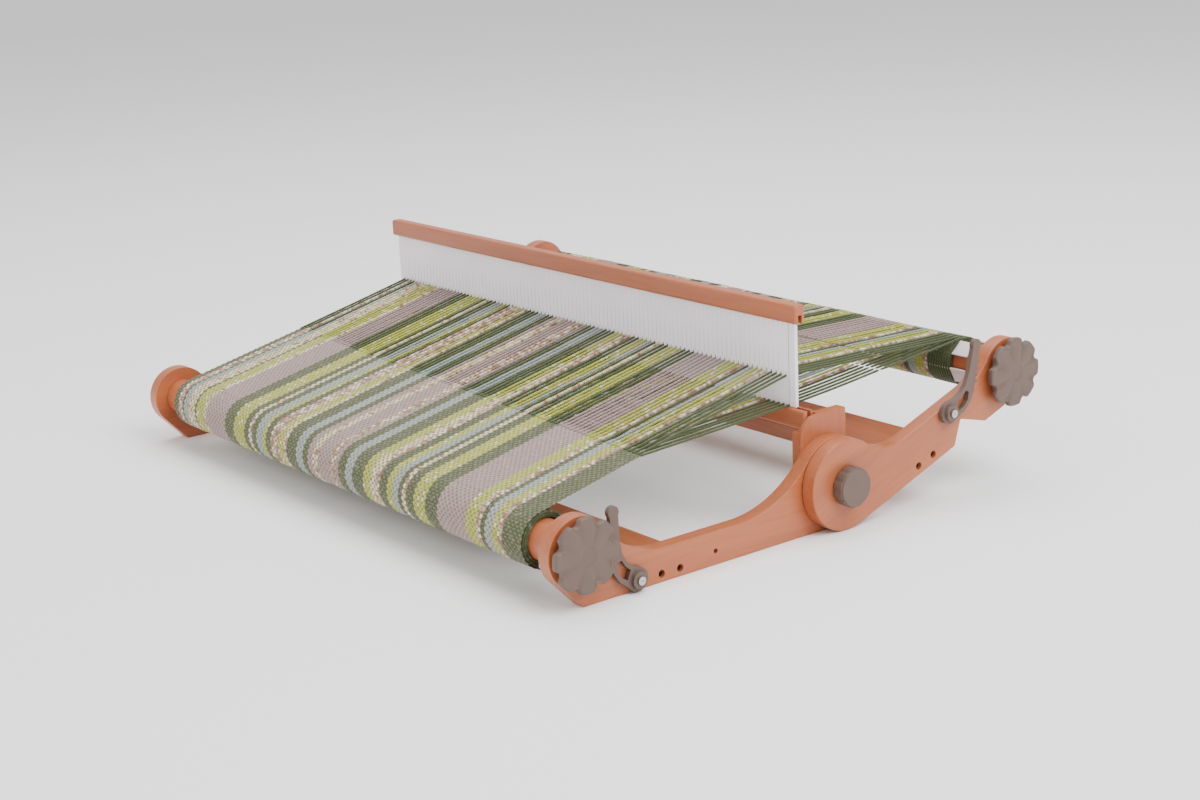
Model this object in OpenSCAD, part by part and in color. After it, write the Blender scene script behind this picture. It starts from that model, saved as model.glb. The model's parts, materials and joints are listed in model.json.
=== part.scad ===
// Folding rigid-heddle table loom, opened out with a striped cloth on it.
// X runs across the loom, Y from the weaver to the back, Z up.
// The origin is on the table, under the middle of the loom.

/* [Frame] */
// Clear width between the two front side arms
inner_w = 747; // [700:1:800]
// Thickness of the side arms
arm_t = 15.5; // [14:0.5:18]
// Radius of the rounded arm ends that carry the rollers
end_r = 34; // [32:0.5:36]
// Radius of the overlapping fold discs
disc_r = 45.5; // [44:0.5:48]
// Height of the front roller's axis above the table
front_roller_z = 51.3; // [48:0.1:54]
// Distance from the front roller's axis back to the fold axis
front_reach = 312.8; // [305:0.1:320]
// Distance from the fold axis to the rear roller, along the rear arm
rear_reach = 238.2; // [232:0.1:245]
// Drop of the rear roller's axis below the rear arm's centre line
rear_drop = 11.5; // [11:0.1:12.5]
// Slope of the rear half above the table, in degrees
rear_slope = 20; // [16:0.5:22]
// Height of the front arm's straight stretch
neck_z = 33; // [31:0.5:38]
// Height of the rear arm's straight stretch above its centre line
rear_neck = 1.5; // [0:0.5:6]

/* [Rails and posts] */
// Width of the cross rails
rail_w = 46; // [40:1:50]
// Thickness of the cross rails
rail_t = 20; // [18:0.5:22]
// Width of the reed posts, front to back
post_w = 60; // [56:1:64]
// Thickness of the reed posts
post_t = 12; // [11:0.5:14]
// Height of the reed posts' tops above the table
post_top = 112; // [108:1:116]

/* [Reed] */
// Half width of the slotted reed plate
plate_half = 352.5; // [345:0.5:356]
// Height of the reed plate between its bars
plate_h = 84; // [80:1:90]
// Height of the reed's bottom edge above the table
reed_z = 97; // [95:0.5:100]
// Front to back size of the reed's two wooden bars
bar_t = 13; // [11:0.5:14]
// Height of the reed's two wooden bars
bar_h = 19; // [17:0.5:21]

/* [Rollers and cogs] */
// Radius of the wooden rollers
roller_r = 20; // [18:0.5:22]
// Outer radius of the ratchet handles
cog_r = 35.5; // [34:0.5:36]
// Thickness of the ratchet handles
cog_t = 12.4; // [12:0.2:12.4]
// Number of lobes on a ratchet handle
cog_lobes = 8; // [8:1:8]

/* [Warp and cloth] */
// Half width of the warp and of the cloth
cloth_half = 340; // [330:1:345]
// Half width of the warp wound on the rear roller
warp_half = 350; // [340:1:355]
// Outer radius of the cloth wound on the front roller
cloth_r = 28; // [26:0.5:30]
// Outer radius of the warp wound on the rear roller
warp_r = 26; // [25:0.5:28]
// Distance from the front roller's axis to the last row of weaving
fell_y = 126; // [100:1:150]

/* [Hidden] */

$fn = 96;
beech = [0.80, 0.52, 0.36];
nylon = [0.54, 0.48, 0.45];
steel = [0.75, 0.75, 0.76];
dark_steel = [0.16, 0.15, 0.15];
reed_white = [0.93, 0.91, 0.95];
yarn_green = [0.36, 0.41, 0.26];
yarn_lime = [0.62, 0.66, 0.30];
card = [0.80, 0.77, 0.80];

// Places across the loom
washer_t = 0.6;
arm_in = inner_w / 2;
arm_out = arm_in + arm_t;
rear_in = arm_out + washer_t;
rear_out = rear_in + arm_t;
cog_gap = 0.6;
end_play = 0.5;

// Places along the loom, measured from the front roller's axis
fold_z = disc_r;
rear_y = front_reach + rear_reach * cos(rear_slope) + rear_drop * sin(rear_slope);
rear_z = fold_z + rear_reach * sin(rear_slope) - rear_drop * cos(rear_slope);
mid_y = (rear_y + end_r - end_r) / 2;
rail_u = 83;
front_rail_y = 80;
screw_pitch = 22;

// The straight stretches meet the round ends in hollow curves of these radii
front_hollow = 80;
fold_hollow = 120;
rear_fold_hollow = 60;
rear_end_hollow = 70;

// Journals, bolts and screws
journal_r = 11;
journal_gap = 0.06;
spigot_r = 7;
spigot_l = 24;
bolt_r = 4;
bolt_gap = 0.08;
screw_r = 2;
socket_r = 3.8;
socket_d = 7;
stand_hole_r = 2.5;
stand_hole_y = 157.4;
stand_hole_z = 13.6;

// Pawls
pawl_gap = 0.6;
pawl_t = 5.2;
pawl_hub_t = 9;
pawl_boss_r = 11.5;
front_pawl_y = 60;
front_pawl_z = 12.5;
rear_pawl_y = 451;
rear_pawl_z = 90.5;
front_pawl_lean = 19;
rear_pawl_lean = 31;
ring_r = 27;
ring_t = 5.8;
ring_notches = 16;
front_cog_turn = 20;
rear_cog_turn = 21.5;

// Reed and threads
reed_y = 298;
plate_t = 4;
seat_back = reed_y + bar_t / 2 + 2.5;
plate_z = reed_z + bar_h;
eye_z = 147;
slot_z = plate_z + 1.5;
soft_gap = 0.3;
cloth_t = 2;
warp_t = 1.6;
front_eye = [reed_y - plate_t / 2 - soft_gap, eye_z];
rear_eye = [reed_y + plate_t / 2 + soft_gap, eye_z];
front_slot = [reed_y - plate_t / 2 - soft_gap, slot_z];
rear_slot = [reed_y + plate_t / 2 + soft_gap, slot_z];

// Slope of a thread from a point to the top of a roll of radius r about c, and where it touches
function top_slope(p, c, r) = atan2(p[1] - c[1], p[0] - c[0]) - asin(r / norm(p - c));
function touch(c, r, a) = c + r * [-sin(a), cos(a)];

front_axis = [0, front_roller_z];
rear_axis = [rear_y, rear_z];
web_a = top_slope(front_eye, front_axis, cloth_r + soft_gap);
web_start = touch(front_axis, cloth_r + soft_gap, web_a);
fell = [fell_y, web_start[1] + (fell_y - web_start[0]) * tan(web_a)];
rear_dir = atan2(rear_axis[1] - rear_eye[1], rear_axis[0] - rear_eye[0]);
rear_a = rear_dir + asin((warp_r + soft_gap) / norm(rear_axis - rear_eye));
rear_end = touch(rear_axis, warp_r + soft_gap, rear_a);
lower_join = 0.86;

// Outline drawn in the Y-Z plane, given a thickness from x0 to x1
module slab(x0, x1)
    translate([x0, -mid_y, 0])
        rotate([90, 0, 90])
            linear_extrude(height = x1 - x0)
                children();

// The same outline on either side of the loom; side is 1 on the right and -1 on the left
module side_slab(side, x0, x1)
    slab(side > 0 ? x0 : -x1, side > 0 ? x1 : -x0)
        children();

// Round bar along X at y, z
module bar_x(x0, x1, y, z, r)
    translate([x0, y - mid_y, z])
        rotate([0, 90, 0])
            cylinder(h = x1 - x0, r = r);

module side_bar(side, x0, x1, y, z, r)
    bar_x(side > 0 ? x0 : -x1, side > 0 ? x1 : -x0, y, z, r);

// Points of the hollow curve from the disc of radius r about c down to the level line z = level,
// the first of them a little way inside the disc
function hollow(c, r, level, rf, dir) =
    let (run = sqrt((r + rf) * (r + rf) - (level + rf - c[1]) * (level + rf - c[1])),
        sweep = 90 - atan2(level + rf - c[1], run),
        steps = 20)
    [for (k = [0:steps])
        let (a = sweep * (1 - k / steps), q = rf + (k == 0 ? 0.4 : 0))
            [c[0] + dir * (run - q * sin(a)), level + rf - q * cos(a)]];

function reversed(list) = [for (k = [len(list) - 1:-1:0]) list[k]];

// Outline of the front side arm
module front_arm_shape() {
    toe = 1.5;
    reach = sqrt(toe * toe + front_roller_z * front_roller_z);
    lean = atan2(front_roller_z, -toe) + asin(end_r / reach);
    edge = sqrt(reach * reach - end_r * end_r);
    fold = [front_reach, fold_z];
    polygon(concat([front_axis, [toe + edge * cos(lean), edge * sin(lean)], [toe, 0],
        [front_reach, 0], fold],
        hollow(fold, disc_r, neck_z, fold_hollow, -1),
        reversed(hollow(front_axis, end_r, neck_z, front_hollow, 1))));
    translate(front_axis)
        circle(r = end_r);
    translate(fold)
        circle(r = disc_r);
}

// Outline of the rear side arm about the fold axis, before it is tilted
module rear_arm_shape() {
    bottom = -disc_r;
    end = [rear_reach, -rear_drop];
    polygon(concat([[0, 0], [0, bottom], [145, bottom], [161.5, -23.7], [193, bottom],
        [rear_reach, bottom], end],
        hollow(end, end_r, rear_neck, rear_end_hollow, -1),
        reversed(hollow([0, 0], disc_r, rear_neck, rear_fold_hollow, 1))));
    circle(r = disc_r);
    translate(end)
        circle(r = end_r);
}

// Anything drawn about the fold axis in the rear arm's own plane, tilted into place
module tilt_shape()
    translate([front_reach, fold_z])
        rotate(rear_slope)
            children();

// Place of a point of the rear half, from its distances along and above the rear arm's centre line
function rear_place(u, v) = [front_reach + u * cos(rear_slope) - v * sin(rear_slope),
    fold_z + u * sin(rear_slope) + v * cos(rear_slope)];

front_screw_y = [front_rail_y + rail_w / 2 - screw_pitch / 2, front_rail_y + rail_w / 2 + screw_pitch / 2];
front_screw_z = 8;
rear_screws = [for (s = [-1, 1])
    rear_place(rail_u + rail_w / 2 - 3 + s * screw_pitch / 2, -disc_r + 9)];

module front_arm(side)
    color(beech)
        difference() {
            side_slab(side, arm_in, arm_out)
                front_arm_shape();
            if (side > 0) {
                side_bar(side, arm_in - 1, arm_out + 1, 0, front_roller_z, journal_r + journal_gap);
                side_bar(side, arm_out - 12, arm_out + 1, front_pawl_y, front_pawl_z, screw_r);
            }
            if (side < 0)
                side_bar(side, arm_in - 1, arm_in + 12, 0, front_roller_z, journal_r + journal_gap);
            side_bar(side, arm_in - 1, arm_out + 1, front_reach, fold_z, bolt_r + bolt_gap);
            side_bar(side, arm_in - 1, arm_out + 1, stand_hole_y, stand_hole_z, stand_hole_r);
            for (y = front_screw_y) {
                side_bar(side, arm_in - 1, arm_out + 1, y, front_screw_z, screw_r);
                side_bar(side, arm_out - socket_d, arm_out + 1, y, front_screw_z, socket_r);
            }
            for (y = post_screw_y)
                side_bar(side, arm_in - 1, arm_in + 9, y, post_screw_z, screw_r);
        }

module rear_arm(side)
    color(beech)
        difference() {
            side_slab(side, rear_in, rear_out)
                tilt_shape()
                    rear_arm_shape();
            if (side > 0) {
                side_bar(side, rear_in - 1, rear_out + 1, rear_y, rear_z, journal_r + journal_gap);
                side_bar(side, rear_out - 12, rear_out + 1, rear_pawl_y, rear_pawl_z, screw_r);
            }
            if (side < 0)
                side_bar(side, rear_in - 1, rear_in + 12, rear_y, rear_z, journal_r + journal_gap);
            side_bar(side, rear_in - 1, rear_out + 1, front_reach, fold_z, bolt_r + bolt_gap);
            for (p = rear_screws) {
                side_bar(side, rear_in - 1, rear_out + 1, p[0], p[1], screw_r);
                side_bar(side, rear_out - socket_d, rear_out + 1, p[0], p[1], socket_r);
            }
        }

// Screws that hold a rail between two arms: a socket head sunk in the arm, a shank into the rail
module rail_screws(places, outer)
    color(dark_steel)
        for (side = [-1, 1])
            for (p = places) {
                side_bar(side, outer - 62, outer - socket_d, p[0], p[1], screw_r);
                difference() {
                    side_bar(side, outer - socket_d, outer - socket_d + 3, p[0], p[1], socket_r - 0.2);
                    side_bar(side, outer - socket_d + 1, outer, p[0], p[1], 1.5);
                }
            }

module screw_holes(places, outer)
    for (side = [-1, 1])
        for (p = places)
            side_bar(side, outer - 62, outer, p[0], p[1], screw_r);

module front_rail()
    color(beech)
        difference() {
            slab(-arm_in, arm_in)
                translate([front_rail_y, 1])
                    square([rail_w, rail_t]);
            screw_holes([for (y = front_screw_y) [y, front_screw_z]], arm_out);
        }

module rear_rail()
    color(beech)
        difference() {
            slab(-rear_in, rear_in)
                tilt_shape()
                    translate([rail_u, -disc_r + 1])
                        square([rail_w, rail_t]);
            screw_holes(rear_screws, rear_out);
        }

// Reed posts stand inside the front arms and carry the reed's bottom bar in an open seat
post_in = arm_in - post_t;
post_y = 282;
post_foot = 22;
post_round = 22;
post_screw_y = [post_y + 9, post_y + post_w - 9];
post_screw_z = 30;
seat_x = arm_in - 4;

module post_shape() {
    translate([post_y, post_foot])
        square([post_w, post_top - post_foot - post_round]);
    translate([post_y + post_round, post_foot])
        square([post_w - post_round, post_top - post_foot]);
    translate([post_y + post_round, post_top - post_round])
        circle(r = post_round);
}

module reed_post(side)
    color(beech)
        difference() {
            side_slab(side, post_in, arm_in)
                post_shape();
            side_slab(side, post_in - 1, seat_x)
                translate([post_y - 1, reed_z])
                    square([seat_back - post_y + 1, post_top]);
            side_bar(side, post_in - 1, arm_in + 1, front_reach, fold_z, bolt_r + bolt_gap);
            for (y = post_screw_y)
                side_bar(side, post_in - 1, arm_in + 1, y, post_screw_z, screw_r);
        }

module post_screws()
    color(steel)
        for (side = [-1, 1])
            for (y = post_screw_y) {
                side_bar(side, post_in, arm_in + 9, y, post_screw_z, screw_r);
                difference() {
                    side_bar(side, post_in - 2, post_in, y, post_screw_z, 4);
                    side_bar(side, post_in - 3, post_in - 1, y, post_screw_z, 1.4);
                }
            }

// Fold bolts: a round head inside the post, a shank through post, both arms and the knob
knob_gap = 0.6;
knob_in = rear_out + knob_gap;
knob_t = 12.4;
knob_r = 20;
nut_t = 6;

module fold_bolt(side)
    color(steel) {
        side_bar(side, post_in, knob_in + 9, front_reach, fold_z, bolt_r);
        side_bar(side, post_in - 2.5, post_in, front_reach, fold_z, 10);
        side_bar(side, post_in - 4, post_in - 2.5, front_reach, fold_z, 7);
    }

module fold_washers()
    color(nylon)
        for (side = [-1, 1])
            difference() {
                side_bar(side, arm_out, rear_in, front_reach, fold_z, 30);
                side_bar(side, arm_out - 1, rear_in + 1, front_reach, fold_z, bolt_r + bolt_gap);
            }

module hex_bore(side, x0, x1, w)
    side_slab(side, x0, x1)
        translate([front_reach, fold_z])
            circle(d = w / cos(30), $fn = 6);

module fold_knob(side)
    color(nylon)
        difference() {
            union() {
                side_bar(side, knob_in, knob_in + knob_t - 1.5, front_reach, fold_z, knob_r);
                side_bar(side, knob_in, knob_in + knob_t, front_reach, fold_z, knob_r - 1.5);
            }
            for (i = [0 : 11])
                side_bar(side, rear_out, knob_in + knob_t + 1,
                    front_reach + (knob_r + 5.2) * cos(i * 30), fold_z + (knob_r + 5.2) * sin(i * 30), 6);
            side_bar(side, rear_out, knob_in + 10, front_reach, fold_z, bolt_r + bolt_gap);
            hex_bore(side, rear_out, knob_in + nut_t, 13);
        }

module knob_nut(side)
    color(steel)
        difference() {
            hex_bore(side, knob_in, knob_in + nut_t, 12.9);
            side_bar(side, rear_out, knob_in + nut_t + 1, front_reach, fold_z, bolt_r + bolt_gap);
        }

// Wooden roller with a journal at each end; the right one takes the ratchet handle's spigot
module roller(inner, outer, y, z)
    color(beech)
        difference() {
            union() {
                bar_x(-inner + end_play, inner - end_play, y, z, roller_r);
                bar_x(-inner - 11, outer + cog_gap, y, z, journal_r);
            }
            bar_x(outer + cog_gap - spigot_l, outer + cog_gap + 1, y, z, spigot_r + 0.03);
        }

// Notches round a wheel, one of them at the angle called turn
module notches(turn, count, spread, r, h)
    for (i = [0 : count - 1])
        rotate(90 + turn + i * 360 / count)
            translate([spread, 0, -1])
                cylinder(h = h + 2, r = r);

// Ratchet handle: a lobed wheel, a notched ring behind it and a spigot that goes into the roller's end
module cog(outer, y, z, turn)
    color(nylon)
        translate([outer + cog_gap, y - mid_y, z])
            rotate([0, 90, 0]) {
                difference() {
                    cylinder(h = ring_t + 0.5, r = ring_r);
                    notches(turn, ring_notches, ring_r + 0.5, 2.4, ring_t - 1);
                }
                difference() {
                    union() {
                        translate([0, 0, ring_t])
                            cylinder(h = cog_t - ring_t - 2, r = cog_r);
                        translate([0, 0, cog_t - 2])
                            cylinder(h = 2, r1 = cog_r, r2 = cog_r - 2.5);
                    }
                    notches(turn, cog_lobes, cog_r + 0.4, 5.3, cog_t);
                }
                translate([0, 0, 1 - spigot_l])
                    cylinder(h = spigot_l - 1, r = spigot_r);
            }

// Pawl: a boss, a curved thumb lever with a window near the boss, and small ribs that meet the ring
pawl_ribs = [[11.2, 59.5], [13.7, 53], [16.2, 47], [18.6, 41]];

module pawl_shape()
    difference() {
        union() {
            circle(r = pawl_boss_r);
            polygon([[-9, 7], [-1, 14], [5, 23], [6.5, 33], [4.5, 46], [0.5, 58], [-4, 73], [6, 73],
                [9.5, 62], [14, 50], [18.5, 39], [21.5, 29], [22, 20], [19, 9], [12, -2], [6, -9]]);
            translate([1, 73.5])
                circle(r = 6);
            for (p = pawl_ribs)
                translate(p)
                    circle(r = 1.7);
        }
        polygon([[4, 13], [7.5, 19], [9.5, 27], [14.5, 28], [17.5, 20], [15.5, 12], [10.5, 6]]);
    }

module pawl(outer, y, z, lean, flip)
    color(nylon)
        difference() {
            union() {
                slab(outer + pawl_gap, outer + pawl_gap + pawl_t)
                    translate([y, z])
                        mirror([flip ? 1 : 0, 0])
                            rotate(-lean)
                                pawl_shape();
                bar_x(outer + pawl_gap + pawl_t - 1, outer + pawl_gap + pawl_hub_t, y, z, 8);
            }
            bar_x(outer, outer + pawl_gap + pawl_hub_t + 1, y, z, screw_r + 0.08);
        }

module pawl_screw(outer, y, z)
    color(steel) {
        bar_x(outer - 12, outer + pawl_gap + pawl_hub_t + 0.4, y, z, screw_r);
        difference() {
            bar_x(outer + pawl_gap + pawl_hub_t + 0.4, outer + pawl_gap + pawl_hub_t + 2.2, y, z, 4);
            bar_x(outer + pawl_gap + pawl_hub_t + 1.4, outer + pawl_gap + pawl_hub_t + 3, y, z, 1.3);
        }
    }

module reed_bar(z, half)
    color(beech)
        slab(-half, half)
            translate([reed_y - bar_t / 2, z])
                square([bar_t, bar_h]);

module reed_plate()
    color(reed_white)
        slab(-plate_half, plate_half)
            translate([reed_y - plate_t / 2, plate_z])
                square([plate_t, plate_h]);

// Cloth or yarn wound on a roller
module wound(y, z, r, half)
    difference() {
        bar_x(-half, half, y, z, r);
        bar_x(-half - 1, half + 1, y, z, roller_r + 0.05);
    }

module tie_stick_box(grow)
    slab(-350 - grow, 350 + grow)
        translate([-10 - grow, front_roller_z - roller_r - 4.2 - grow])
            square([20 + 2 * grow, 3.4 + 2 * grow]);

module front_tie_stick()
    color(beech)
        tie_stick_box(0);

module cloth_roll()
    color(yarn_lime)
        difference() {
            wound(0, front_roller_z, cloth_r, cloth_half);
            tie_stick_box(0.05);
        }

// Flat sticks laid between the turns of the warp as it was wound on
stick_angles = [36, 130, 208, 304];
stick_half = 370;

module stick_boxes(grow)
    for (a = stick_angles)
        slab(-stick_half - grow, stick_half + grow)
            translate([rear_y, rear_z])
                rotate(a)
                    translate([roller_r + 1.2 - grow, -9 - grow])
                        square([2 + 2 * grow, 18 + 2 * grow]);

module warp_sticks()
    color(card)
        stick_boxes(0);

module warp_roll()
    color(yarn_green)
        difference() {
            wound(rear_y, rear_z, warp_r, warp_half);
            stick_boxes(0.05);
        }

// A flat layer of threads or cloth between two points
module layer(p, q, t)
    slab(-cloth_half, cloth_half)
        polygon([p, q, q + [0, t], p + [0, t]]);

module woven_cloth()
    color(yarn_lime)
        layer(web_start, fell, cloth_t);

module warp_front_upper()
    color(yarn_green)
        layer(fell, front_eye, warp_t);

module warp_front_lower()
    color(yarn_green)
        layer(fell + [16, -1.5], front_slot, warp_t);

module warp_rear_upper()
    color(yarn_green)
        layer(rear_eye, rear_end, warp_t);

module warp_rear_lower()
    color(yarn_green)
        layer(rear_slot, rear_slot + lower_join * (rear_end - rear_slot) - [0, 2], warp_t);

front_arm(-1);  // front_arm_left
front_arm(1);  // front_arm_right
front_rail();
rail_screws([for (y = front_screw_y) [y, front_screw_z]], arm_out);  // front_rail_screws
reed_post(-1);  // reed_post_left
reed_post(1);  // reed_post_right
post_screws();
fold_bolt(-1);  // fold_bolt_left
fold_bolt(1);  // fold_bolt_right
fold_washers();
pawl_screw(arm_out, front_pawl_y, front_pawl_z);  // front_pawl_screw
rear_arm(-1);  // rear_arm_left
rear_arm(1);  // rear_arm_right
rear_rail();
rail_screws(rear_screws, rear_out);  // rear_rail_screws
pawl_screw(rear_out, rear_pawl_y, rear_pawl_z);  // rear_pawl_screw
roller(arm_in, arm_out, 0, front_roller_z);  // front_roller
cog(arm_out, 0, front_roller_z, front_cog_turn);  // front_cog
front_tie_stick();
cloth_roll();
roller(rear_in, rear_out, rear_y, rear_z);  // rear_roller
cog(rear_out, rear_y, rear_z, rear_cog_turn);  // rear_cog
warp_sticks();
warp_roll();
pawl(arm_out, front_pawl_y, front_pawl_z, front_pawl_lean, true);  // front_pawl
pawl(rear_out, rear_pawl_y, rear_pawl_z, rear_pawl_lean, false);  // rear_pawl
fold_knob(-1);  // fold_knob_left
fold_knob(1);  // fold_knob_right
knob_nut(-1);  // knob_nut_left
knob_nut(1);  // knob_nut_right
reed_bar(plate_z + plate_h, plate_half + 6);  // reed_top_bar
reed_plate();
reed_bar(reed_z, seat_x - 0.5);  // reed_bottom_bar
woven_cloth();
warp_front_upper();
warp_front_lower();
warp_rear_upper();
warp_rear_lower();
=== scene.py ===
import json
from math import atan2, cos, pi, radians, sin, sqrt

import bmesh
import bpy
import numpy as np
from mathutils import Matrix, Vector


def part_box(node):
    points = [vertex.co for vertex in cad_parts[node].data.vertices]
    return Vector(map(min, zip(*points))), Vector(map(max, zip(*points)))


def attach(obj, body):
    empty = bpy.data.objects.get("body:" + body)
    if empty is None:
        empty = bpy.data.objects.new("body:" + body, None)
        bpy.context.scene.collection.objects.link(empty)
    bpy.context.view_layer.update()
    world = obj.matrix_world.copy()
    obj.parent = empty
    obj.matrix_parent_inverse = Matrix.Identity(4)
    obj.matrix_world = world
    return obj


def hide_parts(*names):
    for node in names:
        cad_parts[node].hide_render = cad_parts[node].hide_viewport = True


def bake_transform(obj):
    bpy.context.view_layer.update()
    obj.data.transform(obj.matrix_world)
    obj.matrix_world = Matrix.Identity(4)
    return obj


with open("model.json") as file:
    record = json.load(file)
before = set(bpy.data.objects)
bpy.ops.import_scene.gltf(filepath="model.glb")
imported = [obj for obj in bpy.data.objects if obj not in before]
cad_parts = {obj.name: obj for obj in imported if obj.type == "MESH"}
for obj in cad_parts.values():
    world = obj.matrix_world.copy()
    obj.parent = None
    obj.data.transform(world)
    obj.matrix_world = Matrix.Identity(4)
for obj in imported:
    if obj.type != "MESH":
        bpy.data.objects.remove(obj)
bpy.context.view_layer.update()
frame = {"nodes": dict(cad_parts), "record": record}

bl_info = {
    "name": "Rigid Heddle Table Loom",
    "version": (1, 0, 0),
    "blender": (4, 5, 0),
    "location": "View3D > Sidebar > Loom",
    "description": "Dresses the frame of a folding table loom: timber, reed, warp, cloth and fittings",
    "category": "Object",
}

MM = 0.001
CM = 0.01
BODY_OF = {
    node: body
    for body, nodes in frame["record"]["behaviour"]["bodies"].items()
    for node in nodes
}

# ---------------------------------------------------------------------------
# Where things are, taken from the frame
# ---------------------------------------------------------------------------


def centre(node):
    """Middle of a node's box."""
    low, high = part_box(node)
    return (Vector(low) + Vector(high)) / 2


def axis_of(node):
    """(y, z) of a roller's axis."""
    middle = centre(node)
    return middle.y, middle.z


def roll_radius(node):
    """Radius of a roll, from the height of its box."""
    low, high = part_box(node)
    return (high[2] - low[2]) / 2


def tangent_from(point, axis, radius):
    """Where a straight line from a point comes to the top of a round roll: (y, z)."""
    dy, dz = axis[0] - point[0], axis[1] - point[1]
    reach = sqrt(dy * dy + dz * dz - radius * radius)
    spread = atan2(radius, reach)
    heading = atan2(dz, dy) + (spread if dy > 0 else -spread)
    return point[0] + reach * cos(heading), point[1] + reach * sin(heading)


FRONT_AXIS = axis_of("front_roller")
REAR_AXIS = axis_of("rear_roller")
REAR_SLOPE = radians(20)
CLOTH_R = roll_radius("cloth_roll")
WARP_R = roll_radius("warp_roll")
REED_Y = centre("reed_plate").y
EYE_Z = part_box("reed_plate")[0][2] + 31 * MM
SLOT_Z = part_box("reed_plate")[0][2] + 1.5 * MM
FELL_MIDDLE = FRONT_AXIS[0] + 127.5 * MM
FELL_SKEW = 31 * MM
CLOTH_WIDTH = 680 * MM
# Where the upper ends leave the reed's front face, and where the web meets its roll
SHED_Y = REED_Y - 2.3 * MM
WEB_START = tangent_from((SHED_Y, EYE_Z), FRONT_AXIS, CLOTH_R)
WEB_SLOPE = (EYE_Z - WEB_START[1]) / (SHED_Y - WEB_START[0])


def paint(red, green, blue):
    """A colour given on the 0 to 255 scale, as the linear values that a shader takes."""
    def linear(part):
        part /= 255
        return part / 12.92 if part <= 0.04045 else ((part + 0.055) / 1.055) ** 2.4
    return linear(red), linear(green), linear(blue)


# The warp from left to right: yarn and number of ends
THREADING = (
    ("forest", 3), ("rose", 3), ("forest", 1), ("sky", 3), ("cream", 5), ("forest", 1),
    ("lime", 5), ("cream", 2), ("lilac", 13), ("forest", 6), ("lime", 7), ("forest", 3),
    ("cream", 2), ("forest", 3), ("sky", 4), ("lime", 2), ("forest", 3), ("rose", 5),
    ("lime", 3), ("cream", 2), ("forest", 6), ("sky", 4), ("forest", 3), ("lilac", 3),
    ("cream", 3), ("lilac", 7), ("rose", 3), ("lilac", 2), ("forest", 4), ("sky", 4),
    ("forest", 6), ("lime", 4), ("cream", 3), ("rose", 2), ("forest", 4), ("lime", 3),
    ("sky", 3), ("forest", 2), ("cream", 2), ("forest", 4), ("lime", 6), ("forest", 6),
    ("lilac", 14), ("lime", 5), ("rose", 2), ("forest", 2), ("sky", 3), ("lime", 3),
    ("rose", 2), ("forest", 9),
)
ENDS = [yarn for yarn, count in THREADING for _ in range(count)]


# ---------------------------------------------------------------------------
# Settings that a user would change
# ---------------------------------------------------------------------------


def length(name, text, value):
    return bpy.props.FloatProperty(name=name, description=text, default=value, min=0, unit="LENGTH")


def colour(name, text, value):
    return bpy.props.FloatVectorProperty(
        name=name, description=text, default=value, subtype="COLOR", min=0, max=1
    )


class LoomSizes(bpy.types.PropertyGroup):
    edge: length("Timber edge", "Rounding of the timber's long edges", 2.6 * MM)
    bore_edge: length("Bore edge", "Rounding round screw holes and bores", 0.4 * MM)
    moulded_edge: length("Moulded edge", "Rounding of the nylon fittings", 0.8 * MM)
    yarn: length("Yarn radius", "Radius of a smooth warp end", 1.2 * MM)
    bulk: length("Boucle radius", "Radius of a fancy warp end", 1.45 * MM)
    pick: length("Pick spacing", "Distance between weft picks in the cloth", 3.3 * MM)
    relief: length("Weave relief", "How far the ends rise and dip in the cloth", 0.42 * MM)
    slot: length("Reed slot", "Width of the gaps between the reed's ribs", 0.45 * MM)


class LoomColours(bpy.types.PropertyGroup):
    beech: colour("Beech", "Lacquered timber", paint(174, 95, 55))
    beech_dark: colour("Beech figure", "Darker figure in the timber", paint(151, 79, 43))
    nylon: colour("Nylon", "Ratchets, pawls and knobs", paint(97, 78, 68))
    reed: colour("Reed", "Plastic of the reed", paint(246, 240, 245))
    card: colour("Sticks", "Warp sticks", paint(218, 206, 206))
    forest: colour("Forest", "Dark green yarn", paint(72, 84, 44))
    lime: colour("Lime", "Yellow green yarn", paint(172, 176, 62))
    lilac: colour("Lilac", "Lilac grey yarn", paint(163, 139, 135))
    sky: colour("Sky", "Blue grey yarn", paint(149, 162, 156))
    cream: colour("Cream", "Cream boucle yarn", paint(205, 187, 145))
    rose: colour("Rose", "Pink boucle yarn", paint(188, 156, 132))
    # Painted shade: the weft is a light lilac grey yarn, darkened here to a shaded grey brown.
    weft: colour("Weft", "Grey brown weft", paint(128, 113, 101))


# ---------------------------------------------------------------------------
# Materials
# ---------------------------------------------------------------------------


class Value:
    """A number flowing through a material, so that shader maths reads as arithmetic."""

    def __init__(self, finish, socket):
        self.finish = finish
        self.socket = socket

    def maths(self, operation, *terms):
        inputs = dict(enumerate(terms))
        return self.finish.node("ShaderNodeMath", {"operation": operation}, inputs)

    def __add__(self, other):
        return self.maths("ADD", self, other)

    def __sub__(self, other):
        return self.maths("SUBTRACT", self, other)

    def __mul__(self, other):
        return self.maths("MULTIPLY", self, other)

    def __rsub__(self, other):
        return self.maths("SUBTRACT", other, self)

    __radd__ = __add__
    __rmul__ = __mul__

    def between(self, low, high):
        """0 below low, 1 above high and smooth in between."""
        return self.finish.node(
            "ShaderNodeMapRange",
            {"interpolation_type": "SMOOTHSTEP"},
            {"Value": self, "From Min": low, "From Max": high},
        )


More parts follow.
